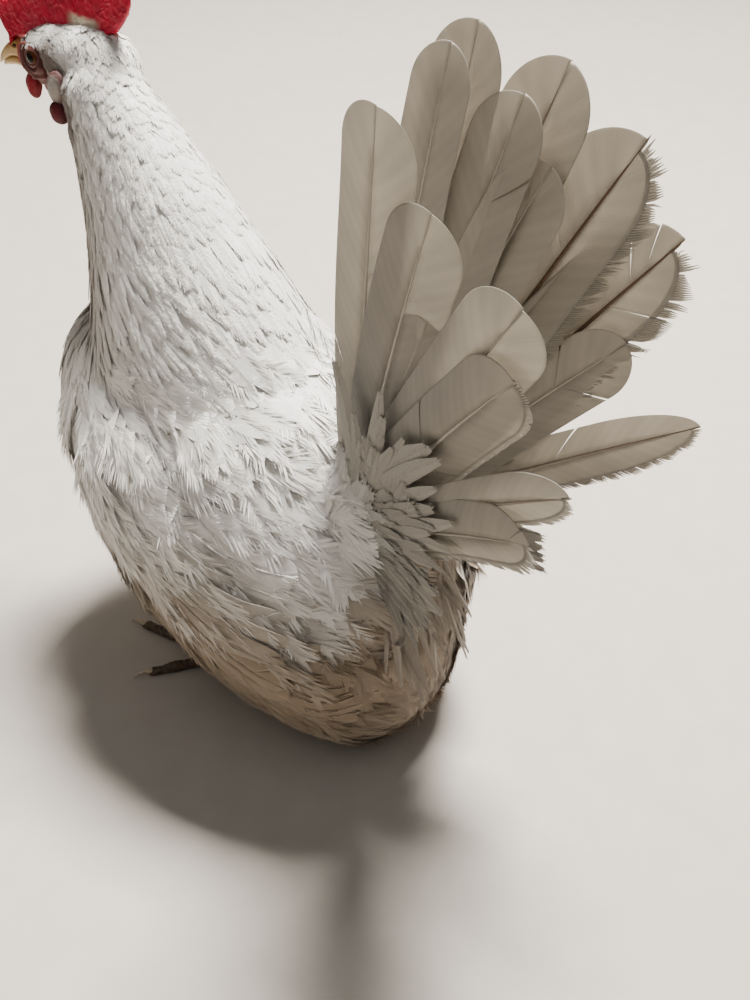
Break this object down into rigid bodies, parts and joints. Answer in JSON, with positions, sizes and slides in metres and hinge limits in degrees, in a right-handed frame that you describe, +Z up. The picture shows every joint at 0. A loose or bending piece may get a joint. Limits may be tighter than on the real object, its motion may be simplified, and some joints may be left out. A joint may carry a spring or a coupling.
{
  "type": "bantam chicken",
  "caption": "Life-size still model of a white Japanese-type bantam chicken standing with its tail upright and wings folded.",
  "frame": {"origin": "on the floor plane, under the middle of the bird's box", "axes": "+Z up; the bird faces -X, its left side is at -Y and its tail is towards +X"},
  "size_m": [0.3098, 0.1402, 0.305],
  "materials": {
    "white_feathers": "soft white body feathers",
    "flight_feathers": "thin white flight and tail feathers, a little see-through, with darker shafts",
    "red_flesh": "bare red skin of comb, wattles and lobe bulbs, finely pebbled, slightly moist",
    "white_lobe": "bare white earlobe skin with a pink flush",
    "beak_horn": "yellow-brown horn, smooth",
    "eye": "wet orange-brown eye with a black pupil",
    "leg_scales": "dark olive-brown scutes, satin"
  },
  "bodies": {
    "root": {"beak_lower": "beak_horn", "beak_upper": "beak_horn", "comb": "red_flesh", "earlobe_left": "white_lobe", "earlobe_right": "white_lobe", "eye_left": "eye", "eye_right": "eye", "foot_left": "leg_scales", "foot_right": "leg_scales", "head": "white_feathers", "lobe_bulb_left": "red_flesh", "lobe_bulb_right": "red_flesh", "neck": "white_feathers", "shank_left": "leg_scales", "shank_right": "leg_scales", "tail_left": "flight_feathers", "tail_right": "flight_feathers", "thigh_left": "white_feathers", "thigh_right": "white_feathers", "torso": "white_feathers", "wattle_left": "red_flesh", "wattle_right": "red_flesh", "wing_left": "flight_feathers", "wing_right": "flight_feathers"}
  },
  "joints": []
}
